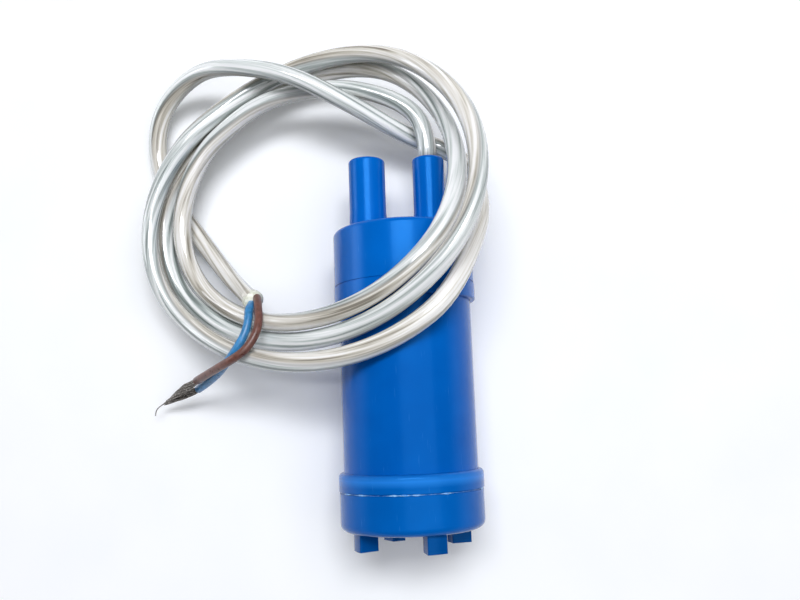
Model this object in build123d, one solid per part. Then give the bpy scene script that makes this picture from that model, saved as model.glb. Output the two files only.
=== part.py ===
from build123d import *
import math
import os

os.makedirs("parts", exist_ok=True)

# A small submersible water pump that lies on its side, in millimetres.
# Its axis runs along Y at the height of its own radius, with the stems at +Y.
# The origin is on the surface, under the middle of the pump.

# Lengths along the pump, from the feet to the tips of the stems
feet_length = 4.6
cap_length = 14.8
barrel_seen_length = 44.2
head_length = 19.7
stem_length = 20.8

# Barrel, and the walls of the cap and the head round its ends
barrel_diameter = 35.3
barrel_wall = 1.9
cap_wall = 1.1
cap_band_step = 0.2
head_wall = 1.15
skirt_band_step = 0.15

# Floors, sockets and fits
cap_floor = 2.2
head_roof = 2.5
socket_depth = 5.0
glue_gap = 0.05
press_gap = 0.02
running_gap = 0.05
overrun = 1.0
match = 0.01

# Trim of the cap and the head
cap_band_width = 4.6
skirt_band_width = 4.3
groove_width = 0.5
groove_depth = 0.25
cap_base_round = 2.0
cap_rim_round = 1.1
head_top_round = 1.3
skirt_round = 0.5

# Feet under the cap
foot_count = 4
foot_inset = 3.1
foot_depth = 5.3
foot_width = 4.5
foot_turn = 21.5
foot_round = 0.4

# Inlet and pump chamber
inlet_diameter = 10.0
plate_step = 1.8
plate_thickness = 2.0
chamber_ledge = 0.95

# Notches in the rim of the plate over the chamber, for the water
notch_count = 6
notch_arc = 30.0
notch_phase_share = 0.5

# Stems on the head: hose outlet and cable gland
outlet_inset = 9.7
outlet_diameter = 10.1
outlet_base_diameter = 10.8
outlet_bore = 7.0
gland_inset = 10.9
gland_diameter = 8.85
gland_base_diameter = 9.4
gland_bore = 6.6
stem_foot_length = 6.0
stem_tip_round = 0.8

# Sealed capsule round the motor
water_gap = 1.75
capsule_wall = 1.5
capsule_length = 49.6
rib_count = 3
rib_width = 1.6
rib_end_margin = 3.0
spigot_height = 2.5
plug_thickness = 4.0
ring_section = 1.44
ring_squeeze = 0.08
ring_groove_depth = 1.5
ring_groove_width = 1.6

# Motor
can_side_gap = 0.3
can_wall = 0.8
can_length = 30.0
nose_diameter = 6.0
nose_length = 2.0
shaft_diameter = 2.0
bush_diameter = 4.4
bush_length = 3.2
seal_diameter = 6.1
seal_lip_diameter = 4.4
seal_lip = 0.5
seal_length = 1.8
magnet_thickness = 2.7
magnet_length = 22.0
magnet_arc = 130.0
magnet_start = 4.0
clip_thickness = 0.5
clip_arc = 38.0
rotor_air_gap = 0.45
core_length = 16.0
core_start = 7.0
core_hub_share = 0.4
shoe_share = 0.16
pole_count = 3
pole_width_share = 0.39
slot_opening_share = 0.2
winding_side_share = 0.2
winding_depth_share = 0.27
winding_overhang = 1.4
winding_gap = 0.1
commutator_share = 0.34
commutator_length = 4.2
commutator_gap = 0.9
commutator_slot = 0.3
brush_gap = 0.3
brush_length = 2.2
brush_width = 2.4
brush_height = 2.4
arm_thickness = 0.3
washer_diameter = 4.0
washer_thickness = 0.4
washer_gap = 0.3
bell_thickness = 3.0
bell_spigot = 1.0
bell_cover = 0.5
terminal_x = 5.0
terminal_width = 2.0
terminal_thickness = 0.5
terminal_length = 3.2

# Impeller
impeller_side_gap = 1.7
impeller_disc = 1.0
impeller_floor_gap = 0.45
impeller_roof_gap = 0.55
impeller_hub_diameter = 6.0
vane_count = 6
vane_thickness = 1.0
vane_curve_radius = 9.0
vane_curve_offset = 7.5

# Cable: one sheath with two cores
cable_diameter = 4.8
core_wire_diameter = 2.2
core_straight = 4.4
tail_straight = 7.6
lead_straight = 6.0
core_spread = 1.15
lead_wire_diameter = 1.6
lead_wire_spread = 1.2
strand_diameter = 0.55
strand_ring_radius = 0.6
strand_count = 3
sheath_inset = 1.0
wire_straight = 1.6
wire_slant = 1.35
wire_rise = 0.7
seal_sleeve_length = 11.0
seal_sleeve_inset = 0.8

# Radii and places across the axis, worked out from the barrel, the walls and the fits
barrel_radius = barrel_diameter / 2
barrel_bore_radius = barrel_radius - barrel_wall
socket_radius = barrel_radius + glue_gap
cap_body_radius = socket_radius + cap_wall
cap_radius = cap_body_radius + cap_band_step
head_radius = socket_radius + head_wall
skirt_radius = head_radius + skirt_band_step
plate_radius = barrel_radius - plate_step
chamber_radius = plate_radius - chamber_ledge
impeller_radius = chamber_radius - impeller_side_gap
foot_outer_radius = cap_body_radius - foot_inset
foot_inner_radius = foot_outer_radius - foot_depth
capsule_radius = barrel_bore_radius - water_gap
capsule_bore_radius = capsule_radius - capsule_wall
spigot_radius = capsule_bore_radius - glue_gap
can_radius = capsule_bore_radius - can_side_gap
can_bore_radius = can_radius - can_wall
magnet_radius = can_bore_radius - glue_gap
core_radius = magnet_radius - magnet_thickness - rotor_air_gap
core_hub_radius = core_radius * core_hub_share
shoe_radius = core_radius * (1 - shoe_share)
pole_width = core_radius * pole_width_share
commutator_radius = core_radius * commutator_share
shaft_radius = shaft_diameter / 2
cable_radius = cable_diameter / 2
plate_hole_radius = seal_diameter / 2 + glue_gap
axis_height = cap_radius
outlet_x = outlet_inset - head_radius
gland_x = head_radius - gland_inset

# Places along the axis, worked out from the lengths
total_length = feet_length + cap_length + barrel_seen_length + head_length + stem_length
feet_y = -total_length / 2
cap_base_y = feet_y + feet_length
cap_rim_y = cap_base_y + cap_length
head_rim_y = cap_rim_y + barrel_seen_length
head_top_y = head_rim_y + head_length
stem_tip_y = head_top_y + stem_length
barrel_base_y = cap_rim_y - socket_depth
barrel_top_y = head_rim_y + socket_depth
chamber_floor_y = cap_base_y + cap_floor
plate_base_y = barrel_base_y - plate_thickness
capsule_top_y = barrel_base_y + capsule_length
plug_base_y = capsule_top_y - plug_thickness
spigot_top_y = barrel_base_y + spigot_height
can_top_y = spigot_top_y + can_length
bell_top_y = can_top_y + bell_thickness
nose_base_y = spigot_top_y - nose_length
core_base_y = spigot_top_y + core_start
core_top_y = core_base_y + core_length
commutator_base_y = core_top_y + commutator_gap
commutator_top_y = commutator_base_y + commutator_length
bell_base_y = can_top_y - bell_spigot
impeller_base_y = chamber_floor_y + impeller_floor_gap
impeller_top_y = plate_base_y - impeller_roof_gap
head_roof_y = head_top_y - head_roof
sheath_end_y = plug_base_y - sheath_inset

# The cable's route, as points and stations chosen along it.
# A station of the coil is where a turn heads along a diagonal: x, y, height and slope.
lead_points = [
    (gland_x, stem_tip_y, axis_height),
    (gland_x, 61.0, 19.2),
    (2.0, 69.0, 19.0),
    (-10.5, 74.5, 18.0),
    (-24.5, 76.0, 15.8),
    (-38.0, 73.2, 13.6),
]
coil_first_heading = 225.0
coil_stations = [
    (-53.0, 61.5, 12.2, -0.08),
    (-57.0, 19.5, 10.8, 0.33),
    (4.0, 20.5, 40.8, -0.14),
    (2.5, 77.0, 17.0, -0.51),
    (-57.0, 63.5, 8.6, 0.02),
    (-61.5, 17.0, 8.2, 0.23),
    (8.0, 17.0, 44.5, 0.18),
    (6.5, 77.0, 25.8, -0.62),
    (-58.0, 65.5, 13.7, 0.02),
    (-63.5, 13.0, 12.3, 0.19),
    (11.5, 12.0, 37.8, -0.28),
]
tail_points = [
    (22.0, 27.2, 31.0),
    (22.6, 37.8, 25.0),
    (20.9, 47.2, 18.9),
    (16.2, 54.4, 14.0),
    (8.0, 59.2, 12.6),
    (-2.0, 62.6, 15.4),
    (-14.5, 68.3, 20.8),
    (-30.5, 76.0, 23.6),
    (-46.5, 81.6, 20.0),
    (-59.5, 83.0, 12.6),
    (-69.0, 76.6, 6.2),
    (-73.2, 64.0, 3.0),
    (-69.8, 49.2, 2.5),
    (-59.8, 35.2, 2.5),
    (-50.6, 26.6, 7.8),
    (-42.8, 19.6, 15.4),
    (-40.3, 13.0, 22.4),
]
blue_points = [
    (-41.6, 5.9, 27.2),
    (-44.6, 1.4, 26.4),
    (-49.5, -2.2, 21.2),
    (-54.7, -5.8, 16.0),
    (-59.4, -8.7, 12.5),
]
brown_points = [
    (-37.4, 6.6, 28.0),
    (-38.6, 2.6, 29.4),
    (-41.4, -0.4, 29.0),
    (-45.0, -2.2, 27.0),
    (-49.9, -3.8, 23.8),
    (-56.9, -6.5, 17.5),
]
blue_strand_tips = [(-65.0, -11.8, 7.4), (-67.4, -12.8, 5.4), (-66.0, -13.6, 4.6)]
brown_strand_tips = [(-64.6, -9.6, 11.6), (-67.6, -10.6, 9.2), (-69.6, -11.6, 7.2)]
arc_share = 0.45
gap_samples = 24


def turned(*outline):
    """A shell turned about the pump's axis, from points of radius and place along it."""
    face = make_face(Polyline(*outline, close=True))
    return Pos(0, 0, axis_height) * revolve(face, Axis.Y)


def tube_piece(inner_radius, outer_radius, start_y, end_y):
    """A plain ring or sleeve about the pump's axis."""
    return turned(
        (inner_radius, start_y),
        (outer_radius, start_y),
        (outer_radius, end_y),
        (inner_radius, end_y),
    )


def rod(radius, start_y, end_y, x=0, z=axis_height):
    """A round bar along Y."""
    bar = Cylinder(radius, end_y - start_y, align=(Align.CENTER, Align.CENTER, Align.MIN))
    return Pos(x, start_y, z) * Rot(-90, 0, 0) * bar


def around(shape, angle):
    """The shape turned about the pump's axis, from up towards +X."""
    return Pos(0, 0, axis_height) * Rot(0, angle, 0) * Pos(0, 0, -axis_height) * shape


def sector(inner_radius, outer_radius, start_y, end_y, arc):
    """A part of a ring, centred on the upward direction."""
    outline = Polyline(
        (inner_radius, start_y),
        (outer_radius, start_y),
        (outer_radius, end_y),
        (inner_radius, end_y),
        close=True,
    )
    piece = Pos(0, 0, axis_height) * revolve(make_face(outline), Axis.Y, revolution_arc=arc)
    return around(piece, -90 - arc / 2)


def upright_block(width, inner_radius, outer_radius, start_y, end_y):
    """A block that stands on a radius, above the pump's axis."""
    block = Box(width, end_y - start_y, outer_radius - inner_radius)
    middle = (inner_radius + outer_radius) / 2
    return Pos(0, (start_y + end_y) / 2, axis_height + middle) * block


def ring_edges(shape, radius, y):
    """The shape's round edges of one radius at one place along the axis."""
    round_edges = shape.edges().filter_by(GeomType.CIRCLE)
    return [e for e in round_edges if abs(e.radius - radius) < match and abs(e.center().Y - y) < match]


def groove(radius, y):
    """The ring that is cut out for a groove round the outside."""
    return tube_piece(radius - groove_depth, radius + overrun, y - groove_width / 2, y + groove_width / 2)


def unit(vector):
    return vector.normalized()


def make_base_cap():
    """The cap at the foot of the pump, with its inlet, chamber and feet."""
    band_y = cap_rim_y - cap_band_width
    bore_radius = plate_radius + glue_gap
    shell = turned(
        (inlet_diameter / 2, cap_base_y),
        (cap_body_radius, cap_base_y),
        (cap_body_radius, band_y),
        (cap_radius, band_y),
        (cap_radius, cap_rim_y),
        (socket_radius, cap_rim_y),
        (socket_radius, barrel_base_y),
        (bore_radius, barrel_base_y),
        (bore_radius, plate_base_y),
        (chamber_radius, plate_base_y),
        (chamber_radius, chamber_floor_y),
        (inlet_diameter / 2, chamber_floor_y),
    )
    shell = fillet(ring_edges(shell, cap_body_radius, cap_base_y), cap_base_round)
    shell = fillet(ring_edges(shell, cap_radius, cap_rim_y), cap_rim_round)
    shell -= groove(cap_body_radius, band_y - groove_width / 2)
    foot_arc = math.degrees(foot_width / ((foot_inner_radius + foot_outer_radius) / 2))
    inside_y = cap_base_y + cap_floor / 2
    foot = sector(foot_inner_radius, foot_outer_radius, feet_y, inside_y, foot_arc)
    upright_edges = foot.edges().filter_by(Axis.Y)
    foot = fillet(upright_edges, foot_round)
    for i in range(foot_count):
        shell += around(foot, foot_turn + 360 / foot_count * i)
    return shell


def make_motor_housing():
    """The plain barrel between the cap and the head."""
    return tube_piece(barrel_bore_radius, barrel_radius, barrel_base_y, barrel_top_y)


def make_head_cover():
    """The head with its two stems, and ribs inside that hold the capsule down."""
    band_y = head_rim_y + skirt_band_width
    shell = turned(
        (0, head_roof_y),
        (barrel_bore_radius, head_roof_y),
        (barrel_bore_radius, barrel_top_y),
        (socket_radius, barrel_top_y),
        (socket_radius, head_rim_y),
        (skirt_radius, head_rim_y),
        (skirt_radius, band_y),
        (head_radius, band_y),
        (head_radius, head_top_y),
        (0, head_top_y),
    )
    shell = fillet(ring_edges(shell, head_radius, head_top_y), head_top_round)
    shell = fillet(ring_edges(shell, skirt_radius, head_rim_y), skirt_round)
    shell -= groove(head_radius, band_y + groove_width / 2)
    rib = upright_block(
        rib_width, capsule_bore_radius, barrel_bore_radius + barrel_wall / 2, capsule_top_y, head_roof_y + match
    )
    for i in range(rib_count):
        rib_turned = around(rib, 360 / rib_count * i)
        shell += rib_turned - tube_piece(
            barrel_bore_radius, barrel_radius + overrun, capsule_top_y - overrun, barrel_top_y
        )
    shell += make_stem(outlet_x, outlet_diameter / 2, outlet_base_diameter / 2)
    shell += make_stem(gland_x, gland_diameter / 2, gland_base_diameter / 2)
    shell -= rod(outlet_bore / 2, head_roof_y - overrun, stem_tip_y + overrun, outlet_x)
    shell -= rod(gland_bore / 2, head_roof_y - overrun, stem_tip_y + overrun, gland_x)
    return shell


def make_stem(x, tip_radius, base_radius):
    """A round stem that widens a little towards the head, with a rounded tip."""
    foot_y = head_top_y - head_roof / 2
    bend_y = head_top_y + stem_foot_length
    outline = Polyline(
        (0, foot_y),
        (base_radius, foot_y),
        (base_radius, head_top_y),
        (tip_radius, bend_y),
        (tip_radius, stem_tip_y),
        (0, stem_tip_y),
        close=True,
    )
    stem = revolve(make_face(outline), Axis.Y)
    stem = fillet(ring_edges(stem, tip_radius, stem_tip_y), stem_tip_round)
    return Pos(x, 0, axis_height) * stem


def make_seal_plate():
    """The plate over the pump chamber, with a spigot for the capsule and notches for the water."""
    lip_radius = seal_lip_diameter / 2
    plate = turned(
        (lip_radius, plate_base_y),
        (plate_radius, plate_base_y),
        (plate_radius, barrel_base_y),
        (spigot_radius, barrel_base_y),
        (spigot_radius, spigot_top_y),
        (plate_hole_radius, spigot_top_y),
        (plate_hole_radius, plate_base_y + seal_lip),
        (lip_radius, plate_base_y + seal_lip),
    )
    plate -= ring_groove((barrel_base_y + spigot_top_y) / 2)
    notch = sector(
        capsule_radius, plate_radius + overrun, plate_base_y - overrun, barrel_base_y + overrun, notch_arc
    )
    for i in range(notch_count):
        plate -= around(notch, 360 / notch_count * (i + notch_phase_share))
    return plate


def ring_groove(y):
    """The groove for a sealing ring, cut out of a plug that fits the capsule."""
    return tube_piece(
        spigot_radius - ring_groove_depth,
        spigot_radius + overrun,
        y - ring_groove_width / 2,
        y + ring_groove_width / 2,
    )


def make_sealing_ring(y):
    """A rubber ring between a plug and the capsule's wall."""
    section_radius = ring_section / 2
    middle = capsule_bore_radius - ring_squeeze - section_radius
    section = Pos(middle, y) * Circle(section_radius)
    return Pos(0, 0, axis_height) * revolve(section, Axis.Y)


def make_shaft_seal():
    """The rubber seal round the shaft, in the seal plate."""
    base_y = plate_base_y + seal_lip
    return tube_piece(shaft_radius + running_gap, seal_diameter / 2, base_y, base_y + seal_length)


def make_motor_capsule():
    """The dry tube round the motor, with ribs that centre it in the barrel."""
    capsule = tube_piece(capsule_bore_radius, capsule_radius, barrel_base_y, capsule_top_y)
    rib = upright_block(
        rib_width,
        capsule_radius - capsule_wall / 2,
        barrel_bore_radius - glue_gap,
        barrel_base_y + rib_end_margin,
        capsule_top_y - rib_end_margin,
    )
    for i in range(rib_count):
        capsule += around(rib, 360 / rib_count * i)
    return capsule


def make_capsule_plug():
    """The plug that closes the capsule round the cable."""
    plug = tube_piece(0, spigot_radius, plug_base_y, capsule_top_y)
    plug -= ring_groove((plug_base_y + capsule_top_y) / 2)
    plug -= rod(cable_radius + glue_gap, plug_base_y - overrun, capsule_top_y + overrun, gland_x)
    return plug


def make_motor_can():
    """The steel can of the motor, with a nose for its front bush."""
    bush_radius = bush_diameter / 2 + press_gap
    return turned(
        (bush_radius, nose_base_y),
        (nose_diameter / 2, nose_base_y),
        (nose_diameter / 2, spigot_top_y),
        (can_radius, spigot_top_y),
        (can_radius, can_top_y),
        (can_bore_radius, can_top_y),
        (can_bore_radius, spigot_top_y + can_wall),
        (bush_radius, spigot_top_y + can_wall),
    )


def make_bush(start_y):
    """A plain bronze bush for the shaft."""
    return tube_piece(shaft_radius + running_gap, bush_diameter / 2, start_y, start_y + bush_length)


def make_magnet(angle):
    """One of the two curved magnets against the can's wall."""
    start_y = spigot_top_y + magnet_start
    magnet = sector(magnet_radius - magnet_thickness, magnet_radius, start_y, start_y + magnet_length, magnet_arc)
    return around(magnet, angle)


def make_magnet_clips():
    """The two springs between the magnets that press them against the can."""
    start_y = spigot_top_y + magnet_start
    clip = sector(magnet_radius - clip_thickness, magnet_radius, start_y, start_y + magnet_length, clip_arc)
    return [around(clip, 90), around(clip, -90)]


def make_end_bell():
    """The plastic end of the motor, with the seat of the rear bush."""
    seat_radius = bush_diameter / 2 + press_gap
    spigot = can_bore_radius - glue_gap
    bell = turned(
        (0, bell_top_y),
        (can_radius, bell_top_y),
        (can_radius, can_top_y),
        (spigot, can_top_y),
        (spigot, bell_base_y),
        (seat_radius, bell_base_y),
        (seat_radius, bell_top_y - bell_cover),
        (0, bell_top_y - bell_cover),
    )
    for side in (-1, 1):
        bell -= terminal_blade(side, glue_gap)
    return bell


def terminal_blade(side, clearance):
    """A flat tab that runs through the end bell."""
    width = terminal_width + 2 * clearance
    thickness = terminal_thickness + 2 * clearance
    start_y = bell_base_y
    end_y = bell_top_y + terminal_length
    blade = Box(thickness, end_y - start_y, width)
    return Pos(side * terminal_x, (start_y + end_y) / 2, axis_height) * blade


def make_brushes():
    """The two carbon brushes, one each side of the commutator."""
    inner = commutator_radius + brush_gap
    middle_y = (commutator_base_y + commutator_top_y) / 2
    block = Box(brush_length, brush_height, brush_width)
    places = [side * (inner + brush_length / 2) for side in (-1, 1)]
    return [Pos(x, middle_y, axis_height) * block for x in places]


def make_brush_arms():
    """The two leaf springs that carry the brushes from the end bell."""
    inner = commutator_radius + brush_gap + brush_length
    middle_y = (commutator_base_y + commutator_top_y) / 2
    start_y = middle_y - brush_height / 2
    block = Box(arm_thickness, bell_base_y - start_y, brush_width)
    places = [side * (inner + arm_thickness / 2) for side in (-1, 1)]
    return [Pos(x, (start_y + bell_base_y) / 2, axis_height) * block for x in places]


def make_shaft():
    """The steel shaft of the motor and the impeller."""
    start_y = impeller_base_y + impeller_floor_gap
    end_y = bell_base_y + bush_length
    return rod(shaft_radius, start_y, end_y)


def make_armature_core():
    """The iron core of the armature, with three poles and their shoes."""
    core = rod(core_hub_radius, core_base_y, core_top_y)
    core += tube_piece(shoe_radius, core_radius, core_base_y, core_top_y)
    pole = upright_block(pole_width, 0, (shoe_radius + core_radius) / 2, core_base_y, core_top_y)
    slot_width = core_radius * slot_opening_share
    inner = (core_hub_radius + shoe_radius) / 2
    opening = upright_block(
        slot_width, inner, core_radius + overrun, core_base_y - overrun, core_top_y + overrun
    )
    for i in range(pole_count):
        core += around(pole, 360 / pole_count * i)
    for i in range(pole_count):
        core -= around(opening, 360 / pole_count * (i + 1 / 2))
    core -= rod(shaft_radius + press_gap, core_base_y - overrun, core_top_y + overrun)
    return core


def make_windings():
    """The copper windings round the poles of the core."""
    inner = core_hub_radius + winding_gap
    outer = inner + core_radius * winding_depth_share
    half_hole = pole_width / 2 + winding_gap
    full_width = 2 * (half_hole + core_radius * winding_side_share)
    start_y = core_base_y - winding_gap
    end_y = core_top_y + winding_gap
    body = upright_block(full_width, inner, outer, start_y - winding_overhang, end_y + winding_overhang)
    hole = upright_block(2 * half_hole, inner - overrun, outer + overrun, start_y, end_y)
    winding = body - hole
    return [around(winding, 360 / pole_count * i) for i in range(pole_count)]


def make_commutator():
    """The copper commutator on the shaft, with a slot between its segments."""
    outer = commutator_radius
    piece = tube_piece(shaft_radius + press_gap, outer, commutator_base_y, commutator_top_y)
    cut = upright_block(
        commutator_slot,
        (shaft_radius + outer) / 2,
        outer + overrun,
        commutator_base_y - overrun,
        commutator_top_y + overrun,
    )
    for i in range(pole_count):
        piece -= around(cut, 360 / pole_count * i)
    return piece


def make_washers():
    """The two thrust washers on the shaft, one at each bush."""
    front_y = nose_base_y + bush_length + washer_gap
    rear_y = bell_base_y - washer_gap - washer_thickness
    radius = washer_diameter / 2
    return [
        tube_piece(shaft_radius + press_gap, radius, y, y + washer_thickness) for y in (front_y, rear_y)
    ]


def make_impeller():
    """The open impeller: a disc with curved vanes that face the inlet."""
    outer = impeller_radius
    hub = impeller_hub_diameter / 2
    disc_y = impeller_top_y - impeller_disc
    wheel = rod(outer, disc_y, impeller_top_y)
    wheel += rod(hub, impeller_base_y, impeller_top_y)
    half = vane_thickness / 2
    curve = tube_piece(vane_curve_radius - half, vane_curve_radius + half, impeller_base_y, disc_y + half)
    curve = Pos(0, 0, vane_curve_offset) * curve
    ring = tube_piece(hub - half, outer - match, impeller_base_y - overrun, impeller_top_y)
    side = Box(2 * outer, 2 * total_length, 4 * outer)
    vane = (curve & ring) & (Pos(outer, 0, axis_height) * side)
    for i in range(vane_count):
        wheel += around(vane, 360 / vane_count * i)
    wheel -= rod(shaft_radius + press_gap, impeller_base_y + impeller_floor_gap, impeller_top_y + overrun)
    return wheel


def make_inner_sheath():
    """The cable from the tip of the gland stem to the inside of the capsule."""
    return rod(cable_radius, sheath_end_y, stem_tip_y, gland_x)


def make_gland_sleeve():
    """The rubber sleeve that seals the cable in the gland stem."""
    end_y = stem_tip_y - seal_sleeve_inset
    sleeve = rod(gland_bore / 2 - glue_gap, end_y - seal_sleeve_length, end_y, gland_x)
    sleeve -= rod(cable_radius + glue_gap, end_y - seal_sleeve_length - overrun, end_y + overrun, gland_x)
    return sleeve


def corner_radii(points):
    """For each corner of a route, the largest radius that its two runs leave room for."""
    radii = []
    for before, here, after in zip(points, points[1:], points[2:]):
        run_in = Vector(*here) - Vector(*before)
        run_out = Vector(*after) - Vector(*here)
        half_turn = math.radians(run_in.get_angle(run_out)) / 2
        radii.append(arc_share * min(run_in.length, run_out.length) / math.tan(half_turn))
    return radii


def tube_along(points, radius):
    """A round tube along straight runs that tangent arcs join."""
    path = FilletPolyline(*points, radius=corner_radii(points))
    section = Plane(origin=path @ 0, z_dir=path % 0) * Circle(radius)
    return sweep(section, path=path), path


def heading(angle, slope):
    """A direction from its compass angle and its slope."""
    flat = math.radians(angle)
    return unit(Vector(math.cos(flat), math.sin(flat), slope))


def quarter_turn(start, start_way, end, end_way):
    """Two tangent arcs of equal reach that join two stations of the coil."""
    span = end - start
    ways = start_way + end_way
    square = 2 * (start_way.dot(end_way) - 1)
    middle = -2 * span.dot(ways)
    reach = (-middle - math.sqrt(middle**2 - 4 * square * span.dot(span))) / (2 * square)
    near = start + start_way * reach
    far = end - end_way * reach
    joint = (near + far) * (1 / 2)
    joint_way = unit(far - near)
    return [
        Edge.make_tangent_arc(start, start_way, joint),
        Edge.make_tangent_arc(joint, joint_way, end),
    ]


def coil_edges():
    """The line of the coil: straight ends, and two arcs for each quarter turn."""
    places = [Vector(*station[:3]) for station in coil_stations]
    ways = [heading(coil_first_heading + 90 * i, s[3]) for i, s in enumerate(coil_stations)]
    edges = [Edge.make_line(places[0] - ways[0] * cable_diameter, places[0])]
    for i in range(len(places) - 1):
        edges += quarter_turn(places[i], ways[i], places[i + 1], ways[i + 1])
    edges.append(Edge.make_line(places[-1], places[-1] + ways[-1] * cable_diameter))
    return edges


def least_gap(edges):
    """The least distance between the coil's surface and itself, measured on points."""
    points = []
    along = 0
    for edge in edges:
        for k in range(gap_samples):
            points.append((along + edge.length * k / gap_samples, edge.position_at(k / gap_samples)))
        along += edge.length
    least = along
    skip = 3 * cable_diameter
    for i, (here, place) in enumerate(points):
        for there, other in points[i:]:
            if there - here > skip:
                least = min(least, (place - other).length)
    return least - cable_diameter


def make_coil():
    """The coil as one unbroken tube."""
    edges = coil_edges()
    path = Wire(edges)
    section = Plane(origin=path @ 0, z_dir=path % 0) * Circle(cable_radius)
    print("coil least gap", round(least_gap(edges), 2))
    print("coil arc radii", [round(e.radius, 1) for e in edges[1:-1]])
    return sweep(section, path=path), path


def coil_end(index, side):
    """Where the coil's straight end begins or stops, and which way it heads."""
    station = coil_stations[index]
    angle = coil_first_heading + 90 * (index % len(coil_stations))
    way = heading(angle, station[3])
    return Vector(*station[:3]) + way * (side * cable_diameter), way


def make_lead():
    """The cable from the gland stem to the coil."""
    end, way = coil_end(0, -1)
    points = lead_points + [tuple(end - way * lead_straight), tuple(end)]
    return tube_along(points, cable_radius)


def make_tail():
    """The cable from the coil to its cut end."""
    start, way = coil_end(-1, 1)
    points = [tuple(start), tuple(start + way * tail_straight)] + tail_points
    return tube_along(points, cable_radius)


def make_core(side, points):
    """One insulated core beyond the cut end of the sheath."""
    end = Vector(*tail_points[-1])
    way = unit(end - Vector(*tail_points[-2]))
    across = unit(Vector(way.Y, -way.X, 0))
    start = end + across * (side * core_spread)
    first = start + way * core_straight
    return tube_along([tuple(start), tuple(first)] + points, core_wire_diameter / 2)


def make_strands(points, tips):
    """The bare strands that spread from the end of one core."""
    end = Vector(*points[-1])
    way = unit(end - Vector(*points[-2]))
    face = Plane(origin=end, z_dir=way)
    strands = []
    for i, tip in enumerate(tips):
        turn = math.radians(360 / strand_count * i)
        start = face.from_local_coords(
            Vector(strand_ring_radius * math.cos(turn), strand_ring_radius * math.sin(turn), 0)
        )
        bend = start + way * core_wire_diameter
        strands.append(tube_along([tuple(start), tuple(bend), tip], strand_diameter / 2)[0])
    return strands


def inner_wire_ends(side):
    """Top and foot of a core inside the capsule, and the ends of its straight stretches."""
    top = Vector(gland_x, sheath_end_y, axis_height - side * lead_wire_spread)
    foot = Vector(side * terminal_x, bell_top_y + terminal_length, axis_height)
    straight = Vector(0, wire_straight, 0)
    return top, top - straight, foot + straight, foot


def make_inner_blue_wire():
    """The core that crosses over to the far tab of the motor."""
    top, below, above, foot = inner_wire_ends(-1)
    over = [
        below + Vector(-wire_slant, -wire_slant, wire_rise),
        above + Vector(wire_slant, wire_slant, wire_rise),
    ]
    points = [top, below, *over, above, foot]
    return tube_along([tuple(point) for point in points], lead_wire_diameter / 2)[0]


def make_inner_brown_wire():
    """The core that runs to the near tab of the motor."""
    points = inner_wire_ends(1)
    return tube_along([tuple(point) for point in points], lead_wire_diameter / 2)[0]


def report_tube(name, tube, path, radius):
    """Prints a tube's length and radii, and its volume as a share of section times length."""
    expected = math.pi * radius**2 * path.length
    bends = [round(e.radius, 1) for e in path.edges().filter_by(GeomType.CIRCLE)]
    print(name, "length", round(path.length, 1), "volume share", round(tube.volume / expected, 4), bends)


lead, lead_path = make_lead()
coil, coil_path = make_coil()
tail, tail_path = make_tail()
blue_core, blue_path = make_core(1, blue_points)
brown_core, brown_path = make_core(-1, brown_points)
report_tube("lead", lead, lead_path, cable_radius)
report_tube("coil", coil, coil_path, cable_radius)
report_tube("tail", tail, tail_path, cable_radius)
report_tube("blue core", blue_core, blue_path, core_wire_diameter / 2)
report_tube("brown core", brown_core, brown_path, core_wire_diameter / 2)
print("cable outside the pump", round(lead_path.length + coil_path.length + tail_path.length, 1))

pieces = {
    "base_cap": make_base_cap(),
    "motor_housing": make_motor_housing(),
    "head_cover": make_head_cover(),
    "seal_plate": make_seal_plate(),
    "lower_sealing_ring": make_sealing_ring((barrel_base_y + spigot_top_y) / 2),
    "upper_sealing_ring": make_sealing_ring((plug_base_y + capsule_top_y) / 2),
    "shaft_seal": make_shaft_seal(),
    "motor_capsule": make_motor_capsule(),
    "capsule_plug": make_capsule_plug(),
    "motor_can": make_motor_can(),
    "front_bush": make_bush(nose_base_y),
    "rear_bush": make_bush(bell_base_y),
    "upper_magnet": make_magnet(0),
    "lower_magnet": make_magnet(180),
    "magnet_clips": make_magnet_clips(),
    "motor_end_bell": make_end_bell(),
    "motor_terminals": [terminal_blade(-1, 0), terminal_blade(1, 0)],
    "carbon_brushes": make_brushes(),
    "brush_arms": make_brush_arms(),
    "rotor_shaft": make_shaft(),
    "armature_core": make_armature_core(),
    "armature_windings": make_windings(),
    "commutator": make_commutator(),
    "thrust_washers": make_washers(),
    "impeller": make_impeller(),
    "inner_sheath": make_inner_sheath(),
    "inner_blue_wire": make_inner_blue_wire(),
    "inner_brown_wire": make_inner_brown_wire(),
    "gland_sleeve": make_gland_sleeve(),
    "cable_lead": lead,
    "cable_coil": coil,
    "cable_tail": tail,
    "blue_core": blue_core,
    "brown_core": brown_core,
    "bare_strands": make_strands(blue_points, blue_strand_tips) + make_strands(brown_points, brown_strand_tips),
}

for name, piece in pieces.items():
    shape = Compound(children=piece) if isinstance(piece, list) else piece
    export_step(shape, f"parts/{name}.step")
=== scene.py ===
# %% [markdown]
# # A submersible water pump and its coiled cable
#
# The real object is a slim pump that lives at the bottom of a caravan's water tank. It is a tube
# of glossy blue plastic with a cap at one end and a head at the other. The cap has four short feet
# round the inlet, and the head has two stems: a wide one for the hose and a narrow one that the
# cable comes out of. The cable is a milky, see-through sheath over two insulated cores, and it lies
# in about three and a half loose turns.
#
# The hard pieces come from the CAD model and are already the right shape. What is left to make is
# their finish, the cable, its two cores with their bare ends, and the light.

import math

import bmesh
import bpy
from mathutils import Matrix, Vector


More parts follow.
